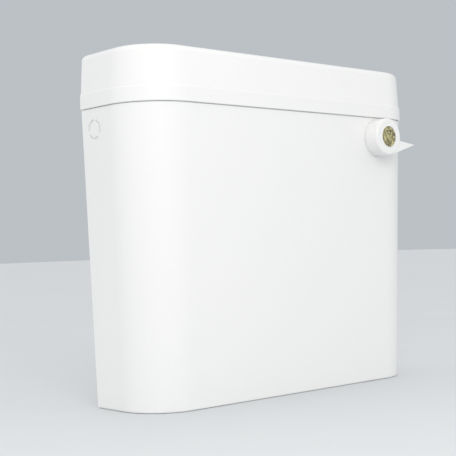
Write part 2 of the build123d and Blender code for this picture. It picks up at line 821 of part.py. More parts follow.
with BuildPart() as valve_seat:
    with BuildSketch(across(seat_disc_x)):
        with Locations((valve_y, valve_z)):
            Circle(valve_bore - 0.05)
    extrude(amount=seat_disc_thickness)
    with BuildSketch(across(seat_x)):
        with Locations((valve_y, valve_z)):
            Circle(nozzle_radius)
    extrude(amount=seat_disc_x - seat_x)
    with BuildSketch(across(bore_end)):
        with Locations((valve_y, valve_z)):
            Circle(inlet_bore - 0.05)
    extrude(amount=spigot_length)
    with BuildSketch(across(seat_x)):
        with Locations((valve_y, valve_z)):
            Circle(nozzle_bore)
    extrude(amount=bore_end + spigot_length - seat_x, mode=Mode.SUBTRACT)
valve_seat.part.label = "valve_seat"
export_step(valve_seat.part, "parts/valve_seat.step")

# Cap over the piston's end, fluted for the fingers
cap_radius = 14.5
cap_length = 11.0
cap_end = 4.0
flute_count = 18
flute_radius = 0.9

with BuildPart() as valve_cap:
    with BuildSketch(across(valve_left - cap_end)):
        with Locations((valve_y, valve_z)):
            Circle(cap_radius)
    extrude(amount=cap_length)
    chamfer(valve_cap.faces().sort_by(Axis.X)[0].edges(), 1)
    with BuildSketch(across(valve_left)):
        with Locations((valve_y, valve_z)):
            Circle(valve_body_radius + fit_gap)
    extrude(amount=cap_length, mode=Mode.SUBTRACT)
    with BuildSketch(across(valve_left - cap_end)):
        with Locations((valve_y, valve_z)):
            with PolarLocations(cap_radius + flute_radius / 2, flute_count):
                Circle(flute_radius)
    extrude(amount=cap_length, mode=Mode.SUBTRACT)
valve_cap.part.label = "valve_cap"
export_step(valve_cap.part, "parts/valve_cap.step")

# Washers and back nuts on the side wall
valve_washer_radius = 14.5
valve_washer_thickness = 2.0
inner_washer_x = side_pad_x - valve_washer_thickness
nut_flats = 30.0

with BuildPart() as valve_inner_washer:
    with BuildSketch(across(inner_washer_x)):
        with Locations((valve_y, valve_z)):
            Circle(valve_washer_radius)
            Circle(valve_tail_radius + fit_gap, mode=Mode.SUBTRACT)
    extrude(amount=valve_washer_thickness)
valve_inner_washer.part.label = "valve_inner_washer"
export_step(valve_inner_washer.part, "parts/valve_inner_washer.step")

# The outer washer beds on the slightly sloping side wall
with BuildPart() as valve_outer_washer:
    with BuildSketch(across(side_x - 1.5)):
        with Locations((valve_y, valve_z)):
            Circle(valve_washer_radius)
            Circle(valve_hole, mode=Mode.SUBTRACT)
    extrude(amount=outer_nut_x - side_x + 1.5)
    add(tank.part, mode=Mode.SUBTRACT)
valve_outer_washer.part.label = "valve_outer_washer"
export_step(valve_outer_washer.part, "parts/valve_outer_washer.step")

with BuildPart() as valve_inner_nut:
    with BuildSketch(across(inner_washer_x - valve_nut_height)):
        with Locations((valve_y, valve_z)):
            RegularPolygon(nut_flats / 2, 6, major_radius=False)
            Circle(valve_tail_radius + fit_gap, mode=Mode.SUBTRACT)
    extrude(amount=valve_nut_height)
valve_inner_nut.part.label = "valve_inner_nut"
export_step(valve_inner_nut.part, "parts/valve_inner_nut.step")

with BuildPart() as valve_outer_nut:
    with BuildSketch(across(outer_nut_x)):
        with Locations((valve_y, valve_z)):
            RegularPolygon(nut_flats / 2, 6, major_radius=False)
            Circle(valve_tail_radius + fit_gap, mode=Mode.SUBTRACT)
    extrude(amount=valve_nut_height)
valve_outer_nut.part.label = "valve_outer_nut"
export_step(valve_outer_nut.part, "parts/valve_outer_nut.step")

pin_half = 8.0
pin_head_radius = 2.6
pin_head_height = 1.0

with BuildPart() as valve_pivot_pin:
    with BuildSketch(facing(valve_y)):
        with Locations((pivot_x, pivot_z)):
            Circle(pin_radius)
    extrude(amount=pin_half, both=True)
    with BuildSketch(facing(valve_y + pin_half + pin_head_height)):
        with Locations((pivot_x, pivot_z)):
            Circle(pin_head_radius)
    extrude(amount=pin_head_height)
valve_pivot_pin.part.label = "valve_pivot_pin"
export_step(valve_pivot_pin.part, "parts/valve_pivot_pin.step")

tube_length = 150.0
tube_wall = 1.2

with BuildPart() as fill_tube:
    with BuildSketch(Plane.XY.offset(outlet_end + tube_socket - 1)):
        with Locations((outlet_x, valve_y)):
            Circle(tube_radius - fit_gap)
            Circle(tube_radius - fit_gap - tube_wall, mode=Mode.SUBTRACT)
    extrude(amount=-tube_length)
fill_tube.part.label = "fill_tube"
export_step(fill_tube.part, "parts/fill_tube.step")


# Piston, drawn at its open position; the lever's finger pushes it to the seat
piston_travel = 2 * pivot_drop * sin(radians(float_travel / 2))
piston_washer_thickness = 3.0
piston_washer_radius = 5.5
washer_face = seat_x - 0.1 - piston_travel
piston_right = washer_face - piston_washer_thickness
piston_left = valve_left + 3.0
finger_radius = 2.5
finger_slot_width = 2 * finger_radius + 0.8
finger_x = pivot_x - piston_travel / 2
stem_slot = 10.0

with BuildPart() as valve_piston:
    with BuildSketch(across(piston_left)):
        with Locations((valve_y, valve_z)):
            Circle(valve_bore - 0.25)
    extrude(amount=piston_right - piston_left)
    with BuildSketch(Plane.XY.offset(valve_z + 4)):
        with Locations((finger_x, valve_y)):
            Rectangle(finger_slot_width, finger_slot_width)
    extrude(amount=-(valve_bore + 5), mode=Mode.SUBTRACT)
    # the slot widens below, where the finger's stem leans either way
    with BuildSketch(Plane.XY.offset(valve_z - 3)):
        with Locations((finger_x, valve_y)):
            Rectangle(stem_slot, finger_slot_width)
    extrude(amount=-valve_bore, mode=Mode.SUBTRACT)
valve_piston.part.label = "valve_piston"
export_step(valve_piston.part, "parts/valve_piston.step")

with BuildPart() as piston_washer:
    with BuildSketch(across(piston_right)):
        with Locations((valve_y, valve_z)):
            Circle(piston_washer_radius)
    extrude(amount=piston_washer_thickness)
piston_washer.part.label = "piston_washer"
export_step(piston_washer.part, "parts/piston_washer.step")

# Float lever: hub, finger and the rod's socket, drawn with the float hanging low
half_travel = float_travel / 2
bend = (-20.0, -31.0)  # first bend of the rod, from the pivot, with the valve closed
rod_angle = atan2(-bend[1], -bend[0])
rod_direction = (-cos(rod_angle), 0, -sin(rod_angle))


def at_rest(dx, y, dz):
    """A point given from the pivot with the valve closed, moved to the low position."""
    return turned_about_pivot(pivot_x + dx, y, pivot_z + dz, -float_travel)


def along_rod(distance):
    """A point on the rod's first run, so far from the pivot, in the low position."""
    return at_rest(distance * rod_direction[0], valve_y, distance * rod_direction[2])


lever_hub_radius = 6.0
neck_radius = 2.9
neck_length = 12.0
rod_socket_radius = 4.4
rod_socket_start = 7.0
rod_socket_end = 22.0
rod_start = 10.0  # the rod's end, inside its socket
stem_width = 3.0
socket_axis = (Vector(*along_rod(rod_socket_end)) - Vector(*along_rod(rod_socket_start))).normalized()
finger_plane = Plane(
    origin=(pivot_x, valve_y, pivot_z),
    x_dir=(cos(radians(half_travel)), 0, sin(radians(half_travel))),
    z_dir=(0, -1, 0),
)

with BuildPart() as float_lever:
    with BuildSketch(finger_plane):
        Circle(lever_hub_radius)
    extrude(amount=lug_gap - 0.4, both=True)
    with BuildSketch(finger_plane):
        with Locations((0, pivot_drop / 2)):
            Rectangle(stem_width, pivot_drop)
        with Locations((0, pivot_drop)):
            Circle(finger_radius)
    extrude(amount=finger_radius, both=True)
    with BuildSketch(Plane(origin=(pivot_x, valve_y, pivot_z), z_dir=socket_axis)):
        Circle(neck_radius)
    extrude(amount=neck_length)
    with BuildSketch(Plane(origin=along_rod(rod_socket_start), z_dir=socket_axis)):
        Circle(rod_socket_radius)
    extrude(amount=rod_socket_end - rod_socket_start)
    with BuildSketch(Plane(origin=along_rod(rod_socket_end), z_dir=socket_axis)):
        Circle(float_rod_radius)
    extrude(amount=rod_start - rod_socket_end, mode=Mode.SUBTRACT)
    with BuildSketch(finger_plane):
        Circle(pin_radius + fit_gap)
    extrude(amount=lug_gap, both=True, mode=Mode.SUBTRACT)
float_lever.part.label = "float_lever"
export_step(float_lever.part, "parts/float_lever.step")

# Float rod, bent down and forward to the middle of the tank
float_end = -float_reach + float_length / 2
rod_bend_radius = 12.0
rod_last_run = 26.0
rod_points = [
    along_rod(rod_start),
    at_rest(bend[0], valve_y, bend[1]),
    at_rest(float_end + rod_last_run, float_y, -float_drop),
    at_rest(float_end + 1, float_y, -float_drop),
]

with BuildPart() as float_rod:
    with BuildLine() as rod_path:
        FilletPolyline(*rod_points, radius=rod_bend_radius)
    with BuildSketch(Plane(origin=rod_points[0], z_dir=socket_axis)):
        Circle(float_rod_radius)
    sweep(path=rod_path.wires()[0])
float_rod.part.label = "float_rod"
export_step(float_rod.part, "parts/float_rod.step")

# Float: a hollow barrel with a seam round its middle and a boss at one end
float_centre = at_rest(-float_reach, float_y, -float_drop)
float_slope = radians(float_travel)
float_plane = Plane(
    origin=float_centre,
    x_dir=(cos(float_slope), 0, sin(float_slope)),
    z_dir=(0, -1, 0),
)
float_axis = Axis(float_centre, (cos(float_slope), 0, sin(float_slope)))
float_edge = 14.0
float_wall = 1.6
float_boss_length = 8.0
float_boss_radius = 7.0
seam_width = 3.0
boss_face = float_length / 2 + float_boss_length
float_end_plane = Plane(
    origin=float_centre,
    z_dir=(cos(float_slope), 0, sin(float_slope)),
).offset(boss_face)
locknut_flats = 10.0
locknut_height = 4.0

with BuildPart() as float_ball:
    with BuildSketch(float_plane) as profile:
        with Locations((0, float_radius / 2)):
            Rectangle(float_length, float_radius)
        fillet(profile.vertices().group_by(Axis.Y)[-1], float_edge)
        with Locations((0, (float_radius + 1) / 2)):
            Rectangle(seam_width, float_radius + 1)
        with Locations((float_length / 2 + float_boss_length / 2, float_boss_radius / 2)):
            Rectangle(float_boss_length, float_boss_radius)
    revolve(axis=float_axis)
    with BuildSketch(float_plane) as hollow:
        with Locations((0, (float_radius - float_wall) / 2)):
            Rectangle(float_length - 2 * float_wall, float_radius - float_wall)
        fillet(hollow.vertices().group_by(Axis.Y)[-1], float_edge - float_wall)
    revolve(axis=float_axis, mode=Mode.SUBTRACT)
    with BuildSketch(float_end_plane):
        Circle(float_rod_radius)
    extrude(amount=-float_boss_length, mode=Mode.SUBTRACT)
float_ball.part.label = "float_ball"
export_step(float_ball.part, "parts/float_ball.step")

with BuildPart() as float_locknut:
    with BuildSketch(float_end_plane):
        RegularPolygon(locknut_flats / 2, 6, major_radius=False)
        Circle(float_rod_radius, mode=Mode.SUBTRACT)
    extrude(amount=locknut_height)
float_locknut.part.label = "float_locknut"
export_step(float_locknut.part, "parts/float_locknut.step")
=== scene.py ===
# %% [markdown]
# A wall-hung plastic cistern, dressed for a studio picture.
#
# The object is a slim white tank with a lift-off lid, a lever with a round boss and a small foil
# badge, and, inside, a siphon worked by the lever and a float valve on the right-hand wall.
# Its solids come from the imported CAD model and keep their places, so this lesson is about what
# Blender adds: a camera, light, finishes made from nodes, and the fine shapes that a solid model
# leaves plain, such as threads.

import json
import math

import bmesh
import bpy
from mathutils import Matrix, Vector

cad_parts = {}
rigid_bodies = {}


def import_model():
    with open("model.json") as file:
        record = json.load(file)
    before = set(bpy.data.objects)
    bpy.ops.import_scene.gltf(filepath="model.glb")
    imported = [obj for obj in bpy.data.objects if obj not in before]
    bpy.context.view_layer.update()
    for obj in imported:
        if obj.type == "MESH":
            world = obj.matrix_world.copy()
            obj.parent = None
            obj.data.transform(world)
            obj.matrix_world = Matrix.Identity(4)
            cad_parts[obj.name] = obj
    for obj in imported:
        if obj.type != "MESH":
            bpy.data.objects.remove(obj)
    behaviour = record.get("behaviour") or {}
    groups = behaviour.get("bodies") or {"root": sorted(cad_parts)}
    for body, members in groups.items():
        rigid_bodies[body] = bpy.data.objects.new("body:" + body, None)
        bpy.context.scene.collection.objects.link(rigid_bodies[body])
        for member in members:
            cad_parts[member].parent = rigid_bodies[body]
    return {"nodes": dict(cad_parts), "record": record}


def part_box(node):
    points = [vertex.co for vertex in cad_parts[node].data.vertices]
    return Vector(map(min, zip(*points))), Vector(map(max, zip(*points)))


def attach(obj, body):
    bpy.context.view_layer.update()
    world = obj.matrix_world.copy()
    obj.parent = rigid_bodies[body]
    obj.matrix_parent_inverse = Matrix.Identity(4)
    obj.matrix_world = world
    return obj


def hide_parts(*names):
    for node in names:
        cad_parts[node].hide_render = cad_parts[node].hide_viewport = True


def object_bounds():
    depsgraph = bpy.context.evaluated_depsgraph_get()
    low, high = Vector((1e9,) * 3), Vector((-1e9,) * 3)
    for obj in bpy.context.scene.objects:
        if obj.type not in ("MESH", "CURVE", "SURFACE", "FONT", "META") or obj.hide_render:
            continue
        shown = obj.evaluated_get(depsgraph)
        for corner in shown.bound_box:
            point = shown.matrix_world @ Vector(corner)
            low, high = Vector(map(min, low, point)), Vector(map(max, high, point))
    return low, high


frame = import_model()
cad_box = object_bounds()
nodes = frame["nodes"]
record = frame["record"]
mm = 0.001
print("the model's box, in metres:", cad_box)

# %% [markdown]
# ## The camera
# A picture taken from the front left, nearly level with the middle of the tank, through a lens a
# little longer than normal. Its place is given as a distance from the origin and its direction as
# three turns: yaw about the upright, pitch up or down, and a small roll, because the picture was
# not held quite level. Building the camera's matrix from three directions is safer than three
# Euler angles, whose order is easy to get wrong.

# %% Camera
def new_object(name, data):
    """An object with this mesh, camera or lamp, linked to the scene."""
    made = bpy.data.objects.new(name, data)
    bpy.context.scene.collection.objects.link(made)
    return made


camera_place = Vector((-863.1, -952.3, -105.6)) * mm
yaw = math.radians(41.77)
pitch = math.radians(0.88)
roll = math.radians(-1.78)

forward = Vector((
    math.sin(yaw) * math.cos(pitch),
    math.cos(yaw) * math.cos(pitch),
    math.sin(pitch),
))
level_right = Vector((math.cos(yaw), -math.sin(yaw), 0))
level_up = level_right.cross(forward)
right = level_right * math.cos(roll) + level_up * math.sin(roll)
up = level_up * math.cos(roll) - level_right * math.sin(roll)

camera_data = bpy.data.cameras.new("camera")
camera_data.lens = 82.73
camera_data.sensor_width = 36
camera_data.clip_start = 0.01
camera = new_object("camera", camera_data)
camera.matrix_world = Matrix((
    (right.x, up.x, -forward.x, camera_place.x),
    (right.y, up.y, -forward.y, camera_place.y),
    (right.z, up.z, -forward.z, camera_place.z),
    (0, 0, 0, 1),
))
bpy.context.scene.camera = camera
print("camera looks along", forward)

# %% [markdown]
# ## Nodes written as arithmetic
# Materials and geometry trees are both made of nodes, and long chains of Math nodes are hard to
# read as calls. A small class that wraps a socket and overloads the usual signs lets us write
# `0.3 + 0.1 * noise`, and each sign adds its Math node. One method adds every other kind of node:
# its settings first, because they decide which sockets there are, and then its sockets.

# %% A socket that can be added and multiplied, and a tree that adds nodes
class Value:
    """The output of a node, for use in ordinary arithmetic."""

    def __init__(self, tree, socket):
        self.tree = tree
        self.socket = socket

    def math(self, operation, *others, clamp=False):
        """A Math node on this value and, where the operation takes more, on others."""
        settings = {"operation": operation, "use_clamp": clamp}
        return self.tree.add("ShaderNodeMath", settings, [self, *others])

    def __add__(self, other):
        return self.math("ADD", other)

    def __sub__(self, other):
        return self.math("SUBTRACT", other)

    def __rsub__(self, other):
        return self.tree.add("ShaderNodeMath", {"operation": "SUBTRACT"}, [other, self])

    def __mul__(self, other):
        return self.math("MULTIPLY", other)

    __radd__ = __add__
    __rmul__ = __mul__

    def between(self, low, high):
        """0 below low, 1 above high, and a smooth step in between."""
        settings = {"interpolation_type": "SMOOTHSTEP"}
        inputs = {"Value": self, "From Min": low, "From Max": high}
        return self.tree.add("ShaderNodeMapRange", settings, inputs)


class Tree:
    """A node tree that takes plain numbers or Values for its sockets."""

    def __init__(self, tree):
        self.tree = tree

    def plug(self, socket, value):
        """Links a Value to a socket, or sets anything else on it."""
        if isinstance(value, Value):
            self.tree.links.new(value.socket, socket)
        else:
            socket.default_value = value

    def add(self, kind, settings=None, inputs=(), output=0):
        """A new node; its sockets are given in order or by name, and one output comes back."""
        node = self.tree.nodes.new(kind)
        for name, value in (settings or {}).items():
            if name == "stops":
                self.set_stops(node.color_ramp, value)
            else:
                setattr(node, name, value)
        pairs = inputs.items() if isinstance(inputs, dict) else enumerate(inputs)
        for key, value in pairs:
            self.plug(node.inputs[key], value)
        return Value(self, node.outputs[output])

    @staticmethod
    def set_stops(ramp, stops):
        """A ramp has two stops at first, so only the others are new."""
        for place, colour in stops[2:]:
            ramp.elements.new(place)
        for element, (place, colour) in zip(ramp.elements, stops):
            element.position = place
            element.color = (*colour, 1)


# %% [markdown]
# ## A finish
# Every finish starts from the Principled shader. What is the same all over the surface, such as
# the strength of a clear coat's sheen, is set on the shader's own socket. What changes over the
# surface, such as colour, roughness and the small bumps that catch the light, is linked to it.
# All patterns read Object coordinates, which are the real thing's own metres, so a pattern's
# size can be given in real millimetres.

# %% The finish class and the patterns that several finishes share
class Finish(Tree):
    """A material with one Principled shader, and patterns whose sizes are in millimetres."""

    def __init__(self, name, **constants):
        self.material = bpy.data.materials.new(name)
        self.material.use_nodes = True
        super().__init__(self.material.node_tree)
        self.shader = self.tree.nodes["Principled BSDF"]
        self.place = self.add("ShaderNodeTexCoord", output="Object")
        for socket, value in constants.items():
            self.shader.inputs[socket.replace("_", " ")].default_value = value

    def noise(self, size, detail=2.0, stretch=(1, 1, 1), shift=0.0):
        """Soft random patches about so many millimetres across; shift moves them along."""
        scale = [1 / size / mm / s for s in stretch]
        moved = {"Vector": self.place, "Location": [shift] * 3, "Scale": scale}
        place = self.add("ShaderNodeMapping", {"vector_type": "POINT"}, moved)
        inputs = {"Vector": place, "Scale": 1.0, "Detail": detail}
        return self.add("ShaderNodeTexNoise", None, inputs)

    def cells(self, size, output):
        """Random cells about so many millimetres across."""
        inputs = {"Vector": self.place, "Scale": 1 / size / mm}
        return self.add("ShaderNodeTexVoronoi", None, inputs, output)

    def edges(self, radius):
        """1 on sharp edges and 0 on open faces, from normals rounded over the radius."""
        rounded = self.add("ShaderNodeBevel", {"samples": 4}, {"Radius": radius * mm})
        true = self.add("ShaderNodeNewGeometry", output="Normal")
        settings = {"operation": "DOT_PRODUCT"}
        along = self.add("ShaderNodeVectorMath", settings, [rounded, true], "Value")
        return (1 - along).between(0.02, 0.3)

    def mix(self, share, first, second):
        """A colour from first, at 0, to second, at 1."""
        inputs = {"Factor": share, 6: first, 7: second}
        return self.add("ShaderNodeMix", {"data_type": "RGBA"}, inputs, 2)

    def bumps(self, *layers):
        """Bump nodes in a chain; each layer is its height and its depth in millimetres."""
        normal = None
        for height, depth in layers:
            inputs = {"Height": height, "Distance": depth * mm, "Strength": 1.0}
            if normal:
                inputs["Normal"] = normal
            normal = self.add("ShaderNodeBump", None, inputs)
        return normal

    def finish(self, **links):
        """Links what changes over the surface to the shader and gives the material."""
        for socket, value in links.items():
            self.plug(self.shader.inputs[socket.replace("_", " ")], value)
        return self.material


def colour(red, green, blue):
    """A linear colour for a socket, with full alpha."""
    return (red, green, blue, 1.0)


# %% [markdown]
# ## White shell
# The tank, lid and lever are moulded in a glossy white plastic. Up close such a skin isn't
# flat: it has a fine orange peel from the mould, and slow waves where thick and thin walls
# shrank by different amounts. Both are too slight to model, and bumps show them in the
# reflections: a hundredth of a millimetre deep for the peel, and a third of a millimetre, over
# some 50 mm, for the waves. The white also varies a little from warm to cool, and handling
# leaves duller patches.
#
# The round knock-out on the left wall has its groove in the solid. The skin sinks a little on
# both sides of that groove, and a bump by the distance from its centre shows this.

# %% White shell
knockout_y = -21.7
knockout_z = 21.6
knockout_middle = 9.9  # radius of the middle of its groove
knockout_bridges = (20, 140, 260)  # degrees from backwards to down, where the groove stops
# the skin is sunk up to the first distance from the groove's middle, and flat past the second
knockout_soft = (0.7, 2.4)
bridge_soft = (1.6, 3.0)  # the other way round for a bridge: flat up to the first distance
left_wall_x = -190.0  # everything to the left of this is the left wall


def sunk_ring(finish):
    """1 in the groove of the knock-out on the left wall, fading over its soft shoulders."""
    axes = finish.add("ShaderNodeSeparateXYZ", None, [finish.place]).socket.node.outputs
    x, y, z = (Value(finish, axis) for axis in axes)
    y, z = y - knockout_y * mm, z - knockout_z * mm
    from_groove = ((y * y + z * z).math("SQRT") - knockout_middle * mm).math("ABSOLUTE")
    near, far = knockout_soft
    ring = 1 - from_groove.between(near * mm, far * mm)
    ring = ring * x.math("LESS_THAN", left_wall_x * mm)
    near, far = bridge_soft
    for degrees in knockout_bridges:
        out_y, out_z = math.cos(math.radians(degrees)), -math.sin(math.radians(degrees))
        is_this_side = (y * out_y + z * out_z).math("GREATER_THAN", 0)
        aside = (y * out_z - z * out_y).math("ABSOLUTE")
        ring = ring * (1 - is_this_side * (1 - aside.between(near * mm, far * mm)))
    return ring


def shell_plastic():
    skin = Finish("shell_plastic", Coat_Roughness=0.12, IOR=1.49)
    drift = skin.noise(130, 1)
    haze = skin.noise(34, 4, shift=3)
    peel = skin.noise(1.5, 1)
    waves = skin.noise(48, 0, shift=7)
    worn = skin.edges(0.9)
    white = skin.mix(drift, colour(0.872, 0.874, 0.87), colour(0.885, 0.884, 0.874))
    hazy = skin.mix(haze.between(0.55, 0.8) * 0.35, white, colour(0.855, 0.855, 0.845))
    rough = 0.24 + 0.1 * haze + 0.05 * peel + 0.1 * worn
    return skin.finish(
        Base_Color=hazy,
        Roughness=rough,
        Coat_Weight=0.35 - 0.15 * haze,
        Normal=skin.bumps((waves, 0.35), (1 - sunk_ring(skin), 0.42), (peel, 0.012)),
    )


# %% [markdown]
# ## Badge
# The boss carries a round disc of patterned foil under a drop of clear resin. From a step away
# it is a speckled olive gold. Random cells, each with its own shade, make the specks, and a
# full clear coat over a rougher, partly metallic base makes the resin.

# %% Badge foil
def badge():
    foil = Finish("badge", Metallic=0.35, Coat_Weight=1.0, Coat_Roughness=0.03, Coat_IOR=1.5)
    shade = foil.cells(2.1, "Color")
    speck = foil.add("ShaderNodeSeparateColor", None, [shade])
    grain = foil.noise(0.8, 3)
    level = 0.75 * speck + 0.25 * grain
    gold = foil.add(
        "ShaderNodeValToRGB",
        {"stops": [
            (0.16, (0.13, 0.1, 0.035)),
            (0.36, (0.27, 0.235, 0.105)),
            (0.62, (0.4, 0.36, 0.18)),
            (0.84, (0.74, 0.67, 0.3)),
        ]},
        [level],
    )
    return foil.finish(
        Base_Color=gold,
        Roughness=0.3 + 0.25 * speck,
        Normal=foil.bumps((speck, 0.02)),
    )


# %% [markdown]
# ## Plain moulded plastics
# The siphon, valve, seat, nuts, tube and float are satin plastics that differ in colour and
# grain. One function serves them all: a base colour with a slightly different patch colour, a
# fine grain from the mould's spark-worn surface, and edges that are a shade lighter, because a
# mould's sharp edges and handling polish them.

# %% Satin plastics
def satin(name, base, patch, edge, rough, grain_size, grain_depth):
    """A satin plastic; the three colours are linear, and the grain is in millimetres."""
    plastic = Finish(name)
    drift = plastic.noise(22, 3)
    grain = plastic.noise(grain_size, 2)
    smudge = plastic.noise(9, 4, shift=5).between(0.55, 0.75)
    worn = plastic.edges(0.6)
    tone = plastic.mix(drift, colour(*base), colour(*patch))
    body = plastic.mix(worn * 0.6, tone, colour(*edge))
    return plastic.finish(
        Base_Color=body,
        Roughness=rough + 0.1 * smudge - 0.08 * worn,
        Normal=plastic.bumps((grain, grain_depth)),
    )


def siphon_plastic():
    return satin(
        "siphon_plastic", base=(0.72, 0.735, 0.73), patch=(0.66, 0.67, 0.655),
        edge=(0.8, 0.8, 0.79), rough=0.42, grain_size=0.8, grain_depth=0.02,
    )


def valve_plastic():
    return satin(
        "valve_plastic", base=(0.74, 0.735, 0.7), patch=(0.68, 0.67, 0.62),
        edge=(0.82, 0.81, 0.78), rough=0.38, grain_size=0.6, grain_depth=0.015,
    )


def nut_plastic():
    return satin(
        "nut_plastic", base=(0.028, 0.029, 0.032), patch=(0.045, 0.045, 0.048),
        edge=(0.12, 0.12, 0.125), rough=0.4, grain_size=0.5, grain_depth=0.02,
    )


def tube_plastic():
    return satin(
        "tube_plastic", base=(0.66, 0.69, 0.7), patch=(0.6, 0.63, 0.64),
        edge=(0.75, 0.77, 0.78), rough=0.34, grain_size=1.2, grain_depth=0.012,
    )


def float_plastic():
    return satin(
        "float_plastic", base=(0.02, 0.022, 0.026), patch=(0.034, 0.036, 0.04),
        edge=(0.07, 0.07, 0.075), rough=0.3, grain_size=1.8, grain_depth=0.03,
    )


def seat_plastic():
    return satin(
        "seat_plastic", base=(0.72, 0.7, 0.6), patch=(0.66, 0.63, 0.52),
        edge=(0.8, 0.78, 0.7), rough=0.36, grain_size=0.5, grain_depth=0.01,
    )


# %% [markdown]
# ## Rubber
# Washers and the plunger's diaphragm are black rubber: nearly no gloss, a fine talc bloom in
# patches and slightly paler edges.

# %% Rubber
def rubber():
    black = Finish("rubber", IOR=1.45)
    bloom = black.noise(5, 5).between(0.45, 0.75)
    grain = black.noise(0.35, 2)
    worn = black.edges(0.4)
    tone = black.mix(bloom, colour(0.018, 0.018, 0.019), colour(0.05, 0.05, 0.05))
    return black.finish(
        Base_Color=black.mix(worn * 0.5, tone, colour(0.09, 0.09, 0.09)),
        Roughness=0.72 + 0.18 * bloom,
        Normal=black.bumps((grain, 0.02)),
    )


# %% [markdown]
# ## Metals
# The float's rod and locknut are brass. The spindle, lift link and rod, pins, screw and the
# plunger's plate and nut are stainless steel. A metal needs Metallic at 1, and its look comes
# from roughness: drawing and polishing leave fine lines, which are noise squeezed one way, brass
# tarnishes in brown patches, and edges stay bright.

# %% Brass and steel
def metal(name, bright, dull, edge, rough, stretch):
    """A bare metal; stretch draws its fine lines out along the axes with a large number."""
    bar = Finish(name, Metallic=1.0)
    lines = bar.noise(0.35, 3, stretch)
    tarnish = bar.noise(7, 5, shift=2).between(0.42, 0.72)
    worn = bar.edges(0.4)
    tone = bar.mix(tarnish, colour(*bright), colour(*dull))
    return bar.finish(
        Base_Color=bar.mix(worn * 0.8, tone, colour(*edge)),
        Roughness=rough + 0.18 * tarnish + 0.12 * lines - 0.08 * worn,
        Normal=bar.bumps((lines, 0.008)),
    )


def brass():
    return metal(
        "brass", bright=(0.78, 0.56, 0.24), dull=(0.42, 0.28, 0.11), edge=(0.9, 0.72, 0.38),
        rough=0.24, stretch=(1, 1, 14),
    )


def steel():
    return metal(
        "steel", bright=(0.66, 0.66, 0.65), dull=(0.5, 0.5, 0.5), edge=(0.8, 0.8, 0.8),
        rough=0.26, stretch=(14, 1, 14),
    )


# %% [markdown]
# ## Dressing the solids
# The record says which finish each node takes, so a loop gives every CAD object its material.
# Only the material slot is changed: the meshes stay as they came.

# %% Give each node its finish
finishes = {
    maker.__name__: maker()
    for maker in (
        shell_plastic, badge, siphon_plastic, valve_plastic, nut_plastic, tube_plastic,
        float_plastic, seat_plastic, rubber, brass, steel,
    )
}
slot_of = {row["node"]: row["material_slot"] for row in record["subparts"]}
for name, node in nodes.items():
    node.data.materials.clear()
    node.data.materials.append(finishes[slot_of[name]])
print(len(nodes), "nodes dressed in", len(finishes), "finishes")

# %% [markdown]
# ## Shapes made by rules
# Threads and drafted outlines follow rules, so Geometry Nodes can make them. A tree gets named
# inputs for its sizes, and a modifier fills them in, addressed by the sockets' identifiers. To
# turn the result into a plain mesh, the evaluated object is copied and the modifier is dropped.

# %% A geometry tree with named inputs
class Shape(Tree):
    """A geometry tree whose sizes are named inputs, in metres, and whose result is one mesh."""

    kinds = {int: "NodeSocketInt", float: "NodeSocketFloat", tuple: "NodeSocketVector"}

    def __init__(self, name, **sizes):
        tree = bpy.data.node_groups.new(name, "GeometryNodeTree")
        super().__init__(tree)
        self.ids = {}
        self.declare("Mesh", "NodeSocketGeometry")
        for size, value in sizes.items():
            self.declare(size, self.kinds[type(value)]).default_value = value
        self.declare("material", "NodeSocketMaterial")
        self.declare("Mesh", "NodeSocketGeometry", "OUTPUT")
        given = tree.nodes.new("NodeGroupInput")
        self.given = {socket.name: Value(self, socket) for socket in given.outputs if socket.name}

    def declare(self, name, kind, side="INPUT"):
        """A new socket of the whole tree; an input's identifier is kept for the modifier."""
        socket = self.tree.interface.new_socket(name, in_out=side, socket_type=kind)
        if side == "INPUT":
            self.ids[name] = socket.identifier
        return socket

    def end(self, mesh):
        """Closes the tree: real geometry instead of instances, and the material."""
        real = self.add("GeometryNodeRealizeInstances", None, {"Geometry": mesh})
        inputs = {"Geometry": real, "Material": self.given["material"]}
        dressed = self.add("GeometryNodeSetMaterial", None, inputs)
        result = self.tree.nodes.new("NodeGroupOutput")
        self.plug(result.inputs[0], dressed)

    def run(self, name, mesh, material, **sizes):
        """An object with the tree's result as its own plain mesh."""
        piece = new_object(name, mesh)
        maker = piece.modifiers.new("shape", "NODES")
        maker.node_group = self.tree
        for size, value in {**sizes, "material": material}.items():
            maker[self.ids[size]] = value
        return made_plain(piece)


def made_plain(piece):
    """Applies a piece's modifiers by copying what they make."""
    bpy.context.view_layer.update()
    seen = piece.evaluated_get(bpy.context.evaluated_depsgraph_get())
    mesh = bpy.data.meshes.new_from_object(seen)
    piece.modifiers.clear()
    piece.data = mesh
    mesh.name = piece.name
    return piece


def smooth(piece, degrees=32):
    """Smooth faces with sharp edges where they turn by more than the angle; large faces lead."""
    piece.data.shade_smooth()
    piece.data.set_sharp_from_angle(angle=math.radians(degrees))
    weights = piece.modifiers.new("weights", "WEIGHTED_NORMAL")
    weights.keep_sharp = True
    return made_plain(piece)


def point_outwards(mesh):
    """Turns all faces of a closed mesh outwards and returns how many edges are open."""
    shell = bmesh.new()
    shell.from_mesh(mesh)
    bmesh.ops.recalc_face_normals(shell, faces=shell.faces)
    open_edges = sum(not edge.is_manifold for edge in shell.edges)
    shell.to_mesh(mesh)
    shell.free()
    return open_edges


weld = 0.0005  # points closer than this are the same corner of the solid


